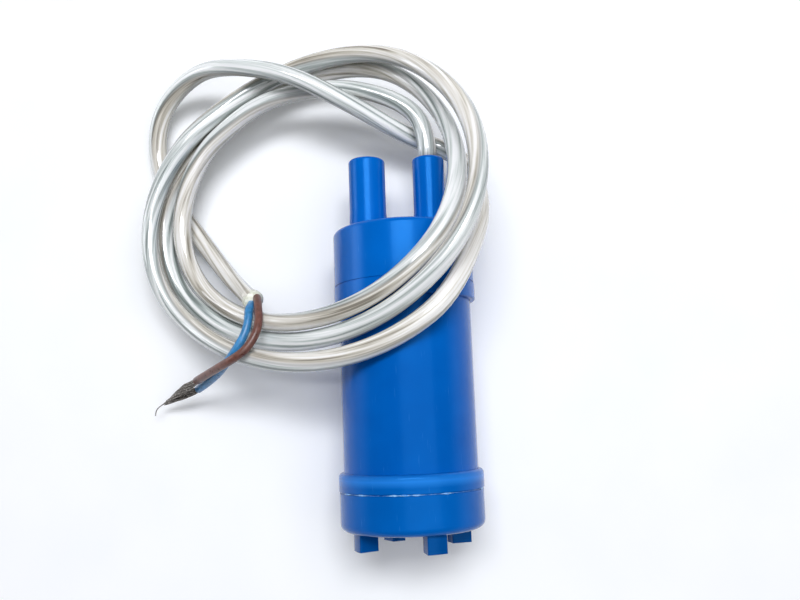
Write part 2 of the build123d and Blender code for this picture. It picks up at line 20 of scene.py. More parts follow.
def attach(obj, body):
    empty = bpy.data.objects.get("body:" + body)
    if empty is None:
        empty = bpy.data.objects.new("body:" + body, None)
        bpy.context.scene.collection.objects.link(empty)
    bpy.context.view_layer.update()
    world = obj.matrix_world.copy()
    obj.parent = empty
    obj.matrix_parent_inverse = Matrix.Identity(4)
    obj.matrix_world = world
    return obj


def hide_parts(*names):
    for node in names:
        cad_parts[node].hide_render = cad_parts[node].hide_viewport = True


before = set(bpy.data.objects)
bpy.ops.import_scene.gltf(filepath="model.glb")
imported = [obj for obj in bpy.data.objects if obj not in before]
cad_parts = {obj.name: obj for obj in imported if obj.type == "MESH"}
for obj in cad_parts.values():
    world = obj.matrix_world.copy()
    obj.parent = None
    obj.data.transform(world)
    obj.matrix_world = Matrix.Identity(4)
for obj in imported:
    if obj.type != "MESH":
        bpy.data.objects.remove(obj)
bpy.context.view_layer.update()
MM = 0.001


# %% [markdown]
# ## The camera
#
# The photograph was taken from above, from over the feet's half of the pump and leaning a little
# towards the stems. A camera is placed by where it stands, the way it looks and its roll. The lens
# is worked out from its focal length in pixels, because an 800 pixel wide frame is 36 mm of sensor.
# All these values come from a least-squares fit to the pump's edges in the photograph.

# %% Camera
FRAME_WIDTH_PX = 800
FOCAL_PX = 790.46
SENSOR_MM = 36.0
CAMERA_PLACE = Vector((-2.152, -19.512, 231.302)) * MM
LOOK_SIDE = 0.004328
LOOK_AHEAD = 0.151935
ROLL = -0.03791


def make_camera():
    """The camera of the photograph."""
    look = Vector((math.sin(LOOK_SIDE), math.sin(LOOK_AHEAD), -1.0)).normalized()
    ahead = Vector((0.0, 1.0, 0.0))
    up = (ahead - look * ahead.dot(look)).normalized()
    right = look.cross(up)
    turned_right = right * math.cos(ROLL) + up * math.sin(ROLL)
    turned_up = up * math.cos(ROLL) - right * math.sin(ROLL)
    data = bpy.data.cameras.new("camera")
    data.sensor_width = SENSOR_MM
    data.lens = FOCAL_PX / FRAME_WIDTH_PX * SENSOR_MM
    data.clip_start = 0.01
    camera = bpy.data.objects.new("camera", data)
    bpy.context.scene.collection.objects.link(camera)
    axes = Matrix((turned_right, turned_up, -look)).transposed().to_4x4()
    camera.matrix_world = Matrix.Translation(CAMERA_PLACE) @ axes
    bpy.context.scene.camera = camera
    return camera


camera = make_camera()
print("lens", round(camera.data.lens, 2), "mm")

# %% [markdown]
# ## The route of the cable
#
# A cable is one fixed length of something springy. Its line is a single smooth curve: straight out
# of its stem, round the turns, and back inside them to the cut end. Each quarter of a turn is worked
# out from where it starts and ends and from the corner where its two headings meet, as a quarter of
# an ellipse, so the turns stay round, differ in size and climb over the pump without a kink.
#
# The cable's middle line was followed on the photograph. The points and stations here are the
# rounded results of a least-squares fit to that line, which also kept the strands apart and off the
# pump. They weren't placed by hand.

# %% Points of the cable's route, in millimetres
CABLE_WIDTH = 5.3 * MM
CABLE_HEIGHT = 4.8 * MM
LEAD_POINTS = [
    (7.95, 52.05, 19.0),
    (7.95, 61.0, 19.2),
    (2.5, 68.5, 19.0),
    (-10.5, 74.0, 18.0),
    (-24.0, 75.5, 15.8),
    (-39.5, 73.0, 13.6),
]
COIL_STATIONS = [
    (-53.0, 62.5, 12.5, -0.08),
    (-55.0, 17.0, 11.2, 0.33),
    (4.0, 19.5, 42.8, -0.14),
    (2.5, 77.0, 17.0, -0.51),
    (-57.0, 63.5, 8.5, 0.02),
    (-60.5, 15.0, 8.6, 0.23),
    (7.5, 15.5, 45.6, 0.18),
    (6.5, 77.0, 25.8, -0.62),
    (-58.5, 64.5, 13.6, 0.02),
    (-62.5, 11.0, 13.2, 0.19),
    (11.0, 10.0, 41.4, -0.28),
]
COIL_FIRST_HEADING = math.radians(225.0)
STEPS_PER_QUARTER = 6
TAIL_POINTS = [
    (20.0, 28.5, 31.0),
    (21.6, 38.0, 25.0),
    (21.0, 47.0, 18.9),
    (16.5, 55.0, 14.0),
    (7.5, 59.0, 12.6),
    (-1.5, 63.0, 15.4),
    (-14.0, 69.0, 20.8),
    (-30.0, 77.0, 23.6),
    (-46.8, 81.3, 20.0),
    (-58.5, 83.0, 12.6),
    (-69.5, 76.0, 6.2),
    (-73.0, 64.5, 3.0),
    (-69.4, 49.3, 2.5),
    (-59.5, 35.5, 2.6),
    (-52.0, 25.5, 7.8),
    (-45.0, 17.4, 15.4),
    (-40.4, 13.4, 22.4),
]


def coil_way(index):
    """The heading of the coil at a station."""
    turn = COIL_FIRST_HEADING + math.radians(90.0) * index
    slope = COIL_STATIONS[index][3]
    return Vector((math.cos(turn), math.sin(turn), slope)).normalized()


def corner_between(start, way, end, end_way):
    """Where the two headings cross in plan, at the mean of their two heights."""
    across = way.x * end_way.y - way.y * end_way.x
    span = end - start
    ahead = (span.x * end_way.y - span.y * end_way.x) / across
    back = (span.x * way.y - span.y * way.x) / across
    return ((start + way * ahead) + (end + end_way * back)) / 2


def coil_points():
    """The points of the turns, a quarter of an ellipse at a time."""
    points = []
    for index in range(len(COIL_STATIONS) - 1):
        start = Vector(COIL_STATIONS[index][:3])
        end = Vector(COIL_STATIONS[index + 1][:3])
        corner = corner_between(start, coil_way(index), end, coil_way(index + 1))
        for step in range(STEPS_PER_QUARTER):
            turn = math.radians(90.0) * step / STEPS_PER_QUARTER
            from_start = (start - corner) * (1 - math.sin(turn))
            from_end = (end - corner) * (1 - math.cos(turn))
            points.append(corner + from_start + from_end)
    points.append(Vector(COIL_STATIONS[-1][:3]))
    return points


def cable_points():
    """All the points of the cable's route, in metres."""
    lead = [Vector(point) for point in LEAD_POINTS]
    tail = [Vector(point) for point in TAIL_POINTS]
    return [point * MM for point in lead + coil_points() + tail]


route = cable_points()
print("cable route", len(route), "points")

# %% [markdown]
# ## From a route to a cable
#
# A curve with a bevel has only one look all round. Turned into a mesh it keeps a map of its own,
# with U along the cable and V round it, so that each core can show through its own side of the
# sheath. The section is a slightly flattened round, because two cores lie side by side in it, and
# the tilt of the curve turns it slowly, because the cores are laid up with a long twist.

# %% Curves and tubes
CURVE_STEPS = 6
SECTION_STEPS = 3
MERGE_REACH = 0.002 * MM


def put(name, data):
    """A new object with that data, at the origin."""
    thing = bpy.data.objects.new(name, data)
    bpy.context.scene.collection.objects.link(thing)
    return thing


def add_spline(data, points, tilts=None):
    """One open, smooth spline through the neighbourhood of the points."""
    spline = data.splines.new("NURBS")
    spline.points.add(len(points) - 1)
    for index, point in enumerate(points):
        spline.points[index].co = (*point, 1.0)
        if tilts:
            spline.points[index].tilt = tilts[index]
    spline.order_u = 3
    spline.use_endpoint_u = True


def make_line(name, routes, tilts=None):
    """A curve with a spline for each route."""
    data = bpy.data.curves.new(name, "CURVE")
    data.dimensions = "3D"
    data.resolution_u = CURVE_STEPS
    data.twist_mode = "MINIMUM"
    for points in routes:
        add_spline(data, points, tilts)
    return put(name, data)


def read_line(line):
    """The points along a curve that has no thickness yet."""
    thin = bpy.data.meshes.new_from_object(line)
    points = [vertex.co.copy() for vertex in thin.vertices]
    bpy.data.meshes.remove(thin)
    return points


def length_of(points):
    """The length of a run of points."""
    return sum((b - a).length for a, b in zip(points, points[1:]))


def make_section(width, height, corners):
    """A flattened round, as the section of a tube."""
    data = bpy.data.curves.new("section", "CURVE")
    data.dimensions = "2D"
    data.resolution_u = SECTION_STEPS
    spline = data.splines.new("NURBS")
    spline.points.add(corners - 1)
    swell = 3 / (2 + math.cos(2 * math.pi / corners))
    for index, place in enumerate(spline.points):
        turn = 2 * math.pi * index / corners
        x = width / 2 * swell * math.cos(turn)
        y = height / 2 * swell * math.sin(turn)
        place.co = (x, y, 0.0, 1.0)
    spline.order_u = 4
    spline.use_cyclic_u = True
    return put("section", data)


def make_tube(name, line, section):
    """The mesh of a tube with that section along the line."""
    line.data.bevel_mode = "OBJECT"
    line.data.bevel_object = section
    line.data.use_fill_caps = True
    depsgraph = bpy.context.evaluated_depsgraph_get()
    data = bpy.data.meshes.new_from_object(line.evaluated_get(depsgraph))
    data.name = name
    bpy.data.objects.remove(line)
    bpy.data.objects.remove(section)
    tube = put(name, data)
    mesh = bmesh.new()
    mesh.from_mesh(data)
    bmesh.ops.remove_doubles(mesh, verts=mesh.verts, dist=MERGE_REACH)
    bmesh.ops.recalc_face_normals(mesh, faces=mesh.faces)
    mesh.to_mesh(data)
    mesh.free()
    data.shade_smooth()
    return tube


SECTION_CORNERS = 8
CABLE_TURNS = 4.5
route_share = [index / (len(route) - 1) for index in range(len(route))]
cable_tilts = [2 * math.pi * CABLE_TURNS * share for share in route_share]
cable_line = make_line("cable_line", [route], cable_tilts)
cable_path = read_line(cable_line)
CABLE_LENGTH = length_of(cable_path)
cable = make_tube("cable", cable_line, make_section(CABLE_WIDTH, CABLE_HEIGHT, SECTION_CORNERS))
print("cable", round(CABLE_LENGTH, 3), "m,", len(cable.data.polygons), "faces")

# %% [markdown]
# ## The two cores
#
# Where the sheath is cut back, a blue and a brown core come out side by side. Both are limp: they
# droop over the turns below them, and the blue one dips under the brown one. They are made as the
# cable is, with a round section. Their points were picked on the photograph and worked back
# through the fitted camera. The knife has pressed the soft sheath out into a small lip round its cut
# end, which is a short, slightly wider tube of the same section.

# %% Blue and brown core
CORE_DIAMETER = 2.2 * MM
CORE_SPREAD = 1.15 * MM
CORE_STRAIGHT = 1.0 * MM
BLUE_POINTS = [
    (-41.0, 10.7, 26.2),
    (-40.9, 7.2, 27.2),
    (-41.9, 3.4, 27.9),
    (-43.9, 0.2, 28.0),
    (-46.6, -2.9, 26.0),
    (-52.0, -6.5, 17.0),
    (-58.3, -9.0, 9.6),
]
BROWN_POINTS = [
    (-38.4, 10.5, 26.9),
    (-37.8, 7.1, 29.0),
    (-38.5, 3.3, 30.2),
    (-40.9, -0.4, 30.7),
    (-44.3, -2.7, 30.4),
    (-49.6, -4.6, 25.3),
    (-57.5, -6.9, 14.6),
]
cut_end = cable_path[-1]
cut_way = (cable_path[-1] - cable_path[-2]).normalized()
cut_side = Vector((cut_way.y, -cut_way.x, 0.0)).normalized()


def make_core(name, side, points):
    """One insulated core from the cut end of the sheath, and its path."""
    start = cut_end + cut_side * (side * CORE_SPREAD)
    first = start + cut_way * CORE_STRAIGHT
    line = make_line(name + "_line", [[start, first] + [Vector(point) * MM for point in points]])
    path = read_line(line)
    core = make_tube(name, line, make_section(CORE_DIAMETER, CORE_DIAMETER, SECTION_CORNERS))
    return core, path


LIP_LENGTH = 1.3 * MM
LIP_STEP = 0.35 * MM
lip_route = [cut_end - cut_way * LIP_LENGTH, cut_end, cut_end + cut_way * LIP_STEP]
lip_line = make_line("lip_line", [lip_route])
lip_section = make_section(CABLE_WIDTH + LIP_STEP, CABLE_HEIGHT + LIP_STEP, SECTION_CORNERS)
cut_lip = make_tube("cut_lip", lip_line, lip_section)
blue_wire, blue_path = make_core("blue_wire", 1, BLUE_POINTS)
brown_wire, brown_path = make_core("brown_wire", -1, BROWN_POINTS)

# %% [markdown]
# ## The bare strands
#
# Each core ends in a bundle of fine tinned copper strands, twisted between finger and thumb and
# then frayed by use. Every strand is a short spline of its own: it starts somewhere on the end face
# of its core, winds round the bundle, and ends near a common tip, with a little scatter that a
# seeded generator gives the same way each time. One stray hair hangs down beyond the tip.

# %% Bare strands
import random

STRAND_DIAMETER = 0.3 * MM
STRAND_CORNERS = 4
STRANDS_PER_CORE = 17
STRAND_STEPS = 6
STRAND_TWIST = 2.6
STRAND_REACH = (0.72, 1.12)
BUNDLE_RADIUS = 0.8 * MM
BUNDLE_BULGE = 0.7
BUNDLE_TAPER = 0.75
BUNDLE_WANDER = 0.28
PLACE_TURN = 2.4
BLUE_TIP = Vector((-69.2, -12.7, 5.0)) * MM
BROWN_TIP = Vector((-68.8, -12.2, 5.6)) * MM
HAIR_POINTS = [
    (-69.0, -12.4, 5.2),
    (-70.6, -13.4, 5.4),
    (-71.6, -14.6, 5.0),
    (-71.8, -15.8, 4.4),
]
scatter = random.Random(7)


def strand_route(start, way, tip, place, turn):
    """The points of one strand, from its core's end to near the tip."""
    across = way.orthogonal().normalized()
    along = way.cross(across)
    reach = scatter.uniform(*STRAND_REACH)
    points = []
    for step in range(STRAND_STEPS + 1):
        share = step / STRAND_STEPS
        middle = start + (tip - start) * (share * reach)
        wound = turn + STRAND_TWIST * share
        loose = place * (1.0 + BUNDLE_BULGE * math.sin(math.pi * share) - BUNDLE_TAPER * share)
        radius = loose + scatter.uniform(0.0, BUNDLE_WANDER) * BUNDLE_RADIUS * share
        points.append(middle + across * (math.cos(wound) * radius) + along * (math.sin(wound) * radius))
    points[0] = start + across * (math.cos(turn) * place) + along * (math.sin(turn) * place)
    return points


def bundle_routes(path, tip):
    """The routes of all the strands of one core."""
    way = (path[-1] - path[-2]).normalized()
    start = path[-1] - way * STRAND_DIAMETER
    routes = []
    for index in range(STRANDS_PER_CORE):
        place = BUNDLE_RADIUS * math.sqrt((index + 0.5) / STRANDS_PER_CORE)
        routes.append(strand_route(start, way, tip, place, PLACE_TURN * index))
    return routes


hair = [Vector(point) * MM for point in HAIR_POINTS]
strand_routes = bundle_routes(blue_path, BLUE_TIP) + bundle_routes(brown_path, BROWN_TIP) + [hair]
strand_lines = make_line("strand_lines", strand_routes)
strand_section = make_section(STRAND_DIAMETER, STRAND_DIAMETER, STRAND_CORNERS)
wire_strands = make_tube("wire_strands", strand_lines, strand_section)
print("strands", len(wire_strands.data.polygons), "faces")

# %% [markdown]
# ## Glue in the cap's seam
#
# The photograph has a few white glints in the groove under the cap's rim. They are taken here for
# solvent cement that welled up when the cap was glued on, which is a guess, and the swells on the
# unseen sides are made up. It is a closed curve round the cap whose thickness changes from place to
# place: a hair's breadth in most places and a small swell in a few, which catch the light.

# %% Glue bead
AXIS_HEIGHT = 19.0 * MM
GLUE_RADIUS = 18.78 * MM
GLUE_PLACE = -37.5 * MM
GLUE_THICKNESS = 0.28 * MM
GLUE_FILM = 0.1
GLUE_STEPS = 180
GLUE_ROUNDNESS = 2
GLUE_SWELLS = [
    (-42, 4), (-14, 3), (-6, 3), (3, 3), (26, 3), (71, 4),
    (118, 5), (160, 7), (205, 5), (262, 6), (300, 4),
]


def swell_at(turn):
    """How far the glue swells at a turn from the top, in degrees: 1 at a swell, 0 between them."""
    swell = 0.0
    for middle, spread in GLUE_SWELLS:
        off = (turn - middle + 180.0) % 360.0 - 180.0
        swell = max(swell, math.exp(-(off / spread) ** 2))
    return swell


def make_glue():
    """A ring of glue round the cap that swells at a few places."""
    data = bpy.data.curves.new("glue_line", "CURVE")
    data.dimensions = "3D"
    data.bevel_depth = GLUE_THICKNESS
    data.bevel_resolution = GLUE_ROUNDNESS
    data.resolution_u = GLUE_ROUNDNESS
    spline = data.splines.new("NURBS")
    spline.points.add(GLUE_STEPS - 1)
    for index, place in enumerate(spline.points):
        turn = 360.0 * index / GLUE_STEPS
        across = GLUE_RADIUS * math.sin(math.radians(turn))
        above = GLUE_RADIUS * math.cos(math.radians(turn))
        place.co = (across, GLUE_PLACE, AXIS_HEIGHT + above, 1.0)
        place.radius = GLUE_FILM + (1.0 - GLUE_FILM) * swell_at(turn)
    spline.order_u = 3
    spline.use_cyclic_u = True
    line = put("glue_line", data)
    depsgraph = bpy.context.evaluated_depsgraph_get()
    bead = put("glue_bead", bpy.data.meshes.new_from_object(line.evaluated_get(depsgraph)))
    bpy.data.objects.remove(line)
    bead.data.shade_smooth()
    return bead


glue_bead = make_glue()
print("glue", len(glue_bead.data.polygons), "faces")

# %% [markdown]
# ## What rides on what
#
# Every new piece belongs to the pump's fixed body. The cable and its two cores are free cords, and
# they stand for their CAD solids, which are hidden. The lip and the glue are small and stand for none.

# %% Cords and their places
BODY = "root"
for piece in (cable, cut_lip, blue_wire, brown_wire, wire_strands, glue_bead):
    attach(piece, BODY)
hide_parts("cable_lead", "cable_coil", "cable_tail")
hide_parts("blue_core")
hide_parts("brown_core")
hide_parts("bare_strands")

# %% [markdown]
# ## Building materials
#
# A material is a small graph of nodes. Two helpers are enough for all of them: one turns a colour
# as it is written on screen into the linear light that the shader works with, and one adds a node
# with its settings and with what feeds it.

# %% Helpers for materials
def linear(code, alpha=1.0):
    """A colour written as six hex digits, as linear light."""
    out = []
    for place in (0, 2, 4):
        value = int(code[place:place + 2], 16) / 255
        out.append(value / 12.92 if value <= 0.04045 else ((value + 0.055) / 1.055) ** 2.4)
    return (*out, alpha)


def add(tree, kind, feeds=None, **settings):
    """A new node with its settings, each input fed by a socket or set to a value."""
    node = tree.nodes.new(kind)
    for name, value in settings.items():
        setattr(node, name, value)
    for name, value in (feeds or {}).items():
        if isinstance(value, bpy.types.NodeSocket):
            tree.links.new(value, node.inputs[name])
        else:
            node.inputs[name].default_value = value
    return node


def set_stops(ramp, stops):
    """Sets a colour ramp's stops, as places and hex colours."""
    elements = ramp.color_ramp.elements
    while len(elements) < len(stops):
        elements.new(0.5)
    for element, (place, code) in zip(elements, stops):
        element.position = place
        element.color = linear(code)
    return ramp.outputs["Color"]


def new_material(name):
    """An empty material, with its tree, its shader and the object's own coordinates."""
    material = bpy.data.materials.new(name)
    material.use_nodes = True
    tree = material.node_tree
    tree.nodes.clear()
    shader = add(tree, "ShaderNodeBsdfPrincipled")
    add(tree, "ShaderNodeOutputMaterial", {"Surface": shader.outputs["BSDF"]})
    place = add(tree, "ShaderNodeTexCoord").outputs["Object"]
    return material, tree, shader, place


def per_mm(size):
    """The scale of a texture whose features are that many millimetres wide."""
    return 1 / (size * MM)


GRAIN_LOW = 0.3
GRAIN_HIGH = 0.7
GRAIN_DETAIL = 5.0


def finish(name, stops, grain, roughness, metallic=0.0, relief=0.004, stretch=(1.0, 1.0, 1.0)):
    """A material whose colour, gloss and relief all follow one fine grain, with sizes in millimetres."""
    material, tree, shader, place = new_material(name)
    run = add(tree, "ShaderNodeMapping", {"Vector": place, "Scale": stretch}).outputs["Vector"]
    noise = add(tree, "ShaderNodeTexNoise", {"Vector": run, "Scale": per_mm(grain), "Detail": GRAIN_DETAIL})
    amount = noise.outputs["Fac"]
    colour = set_stops(add(tree, "ShaderNodeValToRGB", {"Fac": amount}), stops)
    gloss = add(tree, "ShaderNodeMapRange", {"Value": amount, "From Min": GRAIN_LOW, "From Max": GRAIN_HIGH,
                                             "To Min": roughness[0], "To Max": roughness[1]})
    bump = add(tree, "ShaderNodeBump", {"Height": amount, "Strength": 1.0, "Distance": relief * MM})
    tree.links.new(colour, shader.inputs["Base Color"])
    tree.links.new(gloss.outputs["Result"], shader.inputs["Roughness"])
    tree.links.new(bump.outputs["Normal"], shader.inputs["Normal"])
    shader.inputs["Metallic"].default_value = metallic
    return material


def paint(material, *names):
    """Gives the material to CAD nodes or pieces, by name."""
    for name in names:
        data = bpy.data.objects[name].data
        if len(data.materials) == 0:
            data.materials.append(material)
        for index in range(len(data.materials)):
            data.materials[index] = material


# %% [markdown]
# ## Glossy moulded ABS
#
# The cap, the barrel and the head are blue ABS, coloured in the mass. Moulding gives it a smooth
# skin with a faint orange-peel about a millimetre wide, so reflections waver slightly. Handling has
# left hair-fine scuffs, a little paler and duller than the rest. The pale band on the cap's rim is a
# painted highlight and the dark feet are painted shade, which these lamps don't give, and the head is
# painted a little lighter than the barrel, for the stronger light on it. All three stay where they are
# when the light or the pump turns. ABS has an index near 1.53; the level and the tint of its gloss
# were matched to the photograph. The glue is a pale blue that stands for clear cement over the blue,
# and its paleness is partly a painted glint.

# %% Blue ABS
ABS_IOR = 1.53
ABS_SKIN_MM = 1.6
ABS_SKIN_RELIEF = 0.006 * MM
CLOUD_MM = 14.0
SCUFF_WIDTH_MM = 0.36
SCUFF_TURN = (0.3, 0.5, 0.9)
SCUFF_DRAW = 0.06
SCUFF_STOPS = [(0.68, "000000"), (0.75, "ffffff")]
SCUFF_SHARE = 0.22
SCUFF_DULLS = 0.25
SCUFF_COLOUR = "4a95e0"
ABS_GLOSS = 0.32
ABS_GLOSS_TINT = "50b0ff"
CAP_RIM = -34.3 * MM
# A painted highlight: a paler band round the cap's rim.
RIM_HIGHLIGHT_SPREAD = 1.7 * MM
RIM_HIGHLIGHT_SHARE = 0.6
RIM_HIGHLIGHT_COLOUR = "2f92f4"
# Painted shade: the feet at the cap's far end are darker.
FEET_SHADE_DEEPEST_FROM = -48.6 * MM
FEET_SHADE_ENDS_FROM = -47.0 * MM
FEET_SHADE_SHARE = 0.65
FEET_SHADE_COLOUR = "003a74"


def blue_abs(name, deep, bright, roughness, rim=None):
    """Blue ABS with a wavering skin, clouds of colour and scuffs, and on the cap a painted highlight on the rim and
    painted shade on the feet.
    """
    material, tree, shader, place = new_material(name)
    cloud = add(tree, "ShaderNodeTexNoise", {"Vector": place, "Scale": per_mm(CLOUD_MM), "Detail": 2.0})
    colour = set_stops(add(tree, "ShaderNodeValToRGB", {"Fac": cloud.outputs["Fac"]}), [(0.3, deep), (0.7, bright)])
    slant = add(tree, "ShaderNodeMapping", {"Vector": place, "Rotation": SCUFF_TURN, "Scale": (1.0, SCUFF_DRAW, 1.0)})
    scuff = add(tree, "ShaderNodeTexNoise", {"Vector": slant.outputs["Vector"], "Scale": per_mm(SCUFF_WIDTH_MM),
                                             "Detail": 3.0})
    scratches = set_stops(add(tree, "ShaderNodeValToRGB", {"Fac": scuff.outputs["Fac"]}), SCUFF_STOPS)
    worn = add(tree, "ShaderNodeMath", {0: scratches, 1: SCUFF_SHARE}, operation="MULTIPLY").outputs["Value"]
    mixed = add(tree, "ShaderNodeMix", {"Factor": worn, "A": colour, "B": linear(SCUFF_COLOUR)}, data_type="RGBA")
    if rim:
        spot = add(tree, "ShaderNodeSeparateXYZ", {"Vector": place}).outputs["Y"]
        off = add(tree, "ShaderNodeMath", {0: spot, 1: rim}, operation="SUBTRACT").outputs["Value"]
        off = add(tree, "ShaderNodeMath", {0: off}, operation="ABSOLUTE").outputs["Value"]
        # A painted highlight: the colour is paler in a band round the cap's rim.
        rim_highlight = add(tree, "ShaderNodeMapRange", {"Value": off, "From Max": RIM_HIGHLIGHT_SPREAD,
                                                 "To Min": RIM_HIGHLIGHT_SHARE, "To Max": 0.0})
        mixed = add(tree, "ShaderNodeMix", {"Factor": rim_highlight.outputs["Result"], "A": mixed.outputs["Result"],
                                            "B": linear(RIM_HIGHLIGHT_COLOUR)}, data_type="RGBA")
        # Painted shade: the colour darkens over the feet.
        feet_shade = add(tree, "ShaderNodeMapRange", {"Value": spot, "From Min": FEET_SHADE_DEEPEST_FROM,
                                                    "From Max": FEET_SHADE_ENDS_FROM, "To Min": FEET_SHADE_SHARE, "To Max": 0.0})
        mixed = add(tree, "ShaderNodeMix", {"Factor": feet_shade.outputs["Result"], "A": mixed.outputs["Result"],
                                            "B": linear(FEET_SHADE_COLOUR)}, data_type="RGBA")
    tree.links.new(mixed.outputs["Result"], shader.inputs["Base Color"])
    gloss = add(tree, "ShaderNodeMapRange", {"Value": worn, "To Min": roughness, "To Max": roughness + SCUFF_DULLS})
    tree.links.new(gloss.outputs["Result"], shader.inputs["Roughness"])
    skin = add(tree, "ShaderNodeTexNoise", {"Vector": place, "Scale": per_mm(ABS_SKIN_MM), "Detail": 2.0})
    bump = add(tree, "ShaderNodeBump", {"Height": skin.outputs["Fac"], "Strength": 1.0, "Distance": ABS_SKIN_RELIEF})
    tree.links.new(bump.outputs["Normal"], shader.inputs["Normal"])
    shader.inputs["IOR"].default_value = ABS_IOR
    shader.inputs["Specular IOR Level"].default_value = ABS_GLOSS
    shader.inputs["Specular Tint"].default_value = linear(ABS_GLOSS_TINT)
    return material


paint(blue_abs("blue_abs_barrel", "0057b0", "0060bc", 0.2), "motor_housing")
paint(blue_abs("blue_abs_cap", "0059ae", "0061ba", 0.22, CAP_RIM), "base_cap")
# The head's colours are painted a little lighter than the barrel's, for the stronger light on it.
paint(blue_abs("blue_abs_head_painted_lighter", "005eba", "0066c6", 0.22), "head_cover")
# The glue's pale colour stands for clear cement and is partly a painted glint on its swells.
paint(finish("dried_cement_and_glint", [(0.35, "3f93e2"), (0.65, "9fd0f8")], 0.8, (0.1, 0.2)), "glue_bead")

# %% [markdown]
# ## Clear flexible PVC over two cores
#
# The sheath is soft PVC, clear but milky, so the cores under it show only as two pale tints, one
# warm and one cool, parted by a fine line on each side. It is made as an opaque surface. The map's V
# goes once round the cable, so a smooth wave of V gives the two halves, and streaks drawn out along
# U give the strands and the flow of the plastic. The turns' flanks are greyer than their tops, and
# that grey is painted shade: the object's own normal sets it, so it stays on the sides when the light
# turns. It is glossy, with an index near 1.5 and a smooth skin as a coat.

# %% Clear PVC
PVC_IOR = 1.5
PVC_ROUGHNESS = 0.16
PVC_COAT_ROUGHNESS = 0.05
CABLE_GIRTH = math.pi * CABLE_WIDTH
STREAK_WIDTH_MM = 1.05
STREAK_DRAW = 0.03
STREAK_RELIEF = 0.02 * MM
WARM_STOPS = [(0.34, "8a8478"), (0.43, "c5bfb2"), (0.52, "e7e3da"), (0.62, "fdfbf8")]
COOL_STOPS = [(0.34, "7d8684"), (0.43, "b6bebc"), (0.52, "dde2e0"), (0.62, "fafbfb")]
HALF_BLEND = 0.12
SEAM_CORE = 0.05
SEAM_EDGE = 0.3
SEAM_SHARE = 0.5
SEAM_COLOUR = "807e7a"
# Painted shade: the cable's flanks are greyer than its top.
FLANK_SHADE_LOW = -0.1
FLANK_SHADE_HIGH = 0.45
FLANK_SHADE_COLOUR = "898c84"


def clear_pvc(name, length, girth):
    """Milky PVC over a warm and a cool core, mapped along and round the cable, with painted shade on its flanks."""
    material, tree, shader, _ = new_material(name)
    parts = add(tree, "ShaderNodeSeparateXYZ", {"Vector": add(tree, "ShaderNodeUVMap").outputs["UV"]})
    along = add(tree, "ShaderNodeMath", {0: parts.outputs["X"], 1: length}, operation="MULTIPLY")
    angle = add(tree, "ShaderNodeMath", {0: parts.outputs["Y"], 1: 2 * math.pi}, operation="MULTIPLY")
    wave = add(tree, "ShaderNodeMath", {0: angle.outputs["Value"]}, operation="SINE").outputs["Value"]
    other = add(tree, "ShaderNodeMath", {0: angle.outputs["Value"]}, operation="COSINE").outputs["Value"]
    radius = girth / (2 * math.pi)
    high = add(tree, "ShaderNodeMath", {0: wave, 1: radius}, operation="MULTIPLY").outputs["Value"]
    wide = add(tree, "ShaderNodeMath", {0: other, 1: radius}, operation="MULTIPLY").outputs["Value"]
    drawn = add(tree, "ShaderNodeMath", {0: along.outputs["Value"], 1: STREAK_DRAW}, operation="MULTIPLY")
    rolled = add(tree, "ShaderNodeCombineXYZ", {"X": drawn.outputs["Value"], "Y": high, "Z": wide}).outputs["Vector"]
    streak = add(tree, "ShaderNodeTexNoise", {"Vector": rolled, "Scale": per_mm(STREAK_WIDTH_MM), "Detail": 4.0})
    lengthwise = streak.outputs["Fac"]
    warm = set_stops(add(tree, "ShaderNodeValToRGB", {"Fac": lengthwise}), WARM_STOPS)
    cool = set_stops(add(tree, "ShaderNodeValToRGB", {"Fac": lengthwise}), COOL_STOPS)
    half = add(tree, "ShaderNodeMapRange", {"Value": wave, "From Min": -HALF_BLEND, "From Max": HALF_BLEND})
    halves = add(tree, "ShaderNodeMix", {"Factor": half.outputs["Result"], "A": warm, "B": cool}, data_type="RGBA")
    depth = add(tree, "ShaderNodeMath", {0: wave}, operation="ABSOLUTE").outputs["Value"]
    seam = add(tree, "ShaderNodeMapRange", {"Value": depth, "From Min": SEAM_CORE, "From Max": SEAM_EDGE,
                                            "To Min": SEAM_SHARE, "To Max": 0.0})
    lined = add(tree, "ShaderNodeMix", {"Factor": seam.outputs["Result"], "A": halves.outputs["Result"],
                                        "B": linear(SEAM_COLOUR)}, data_type="RGBA")
    # Painted shade: the object's own normal greys the flanks.
    normal = add(tree, "ShaderNodeTexCoord").outputs["Normal"]
    rise = add(tree, "ShaderNodeSeparateXYZ", {"Vector": normal}).outputs["Z"]
    facing_up = add(tree, "ShaderNodeMapRange", {"Value": rise, "From Min": FLANK_SHADE_LOW, "From Max": FLANK_SHADE_HIGH})
    sides = add(tree, "ShaderNodeMix", {"Factor": facing_up.outputs["Result"], "A": linear(FLANK_SHADE_COLOUR),
                                        "B": lined.outputs["Result"]}, data_type="RGBA")
    tree.links.new(sides.outputs["Result"], shader.inputs["Base Color"])
    bump = add(tree, "ShaderNodeBump", {"Height": lengthwise, "Strength": 1.0, "Distance": STREAK_RELIEF})
    tree.links.new(bump.outputs["Normal"], shader.inputs["Normal"])
    shader.inputs["Roughness"].default_value = PVC_ROUGHNESS
    shader.inputs["IOR"].default_value = PVC_IOR
    shader.inputs["Coat Weight"].default_value = 1.0
    shader.inputs["Coat Roughness"].default_value = PVC_COAT_ROUGHNESS
    return material


paint(clear_pvc("clear_pvc_cable", CABLE_LENGTH, CABLE_GIRTH), "cable")
paint(finish("cut_pvc", [(0.35, "dfe0cb"), (0.65, "f3f3e6")], 0.8, (0.2, 0.35), 0.0, 0.02), "cut_lip")

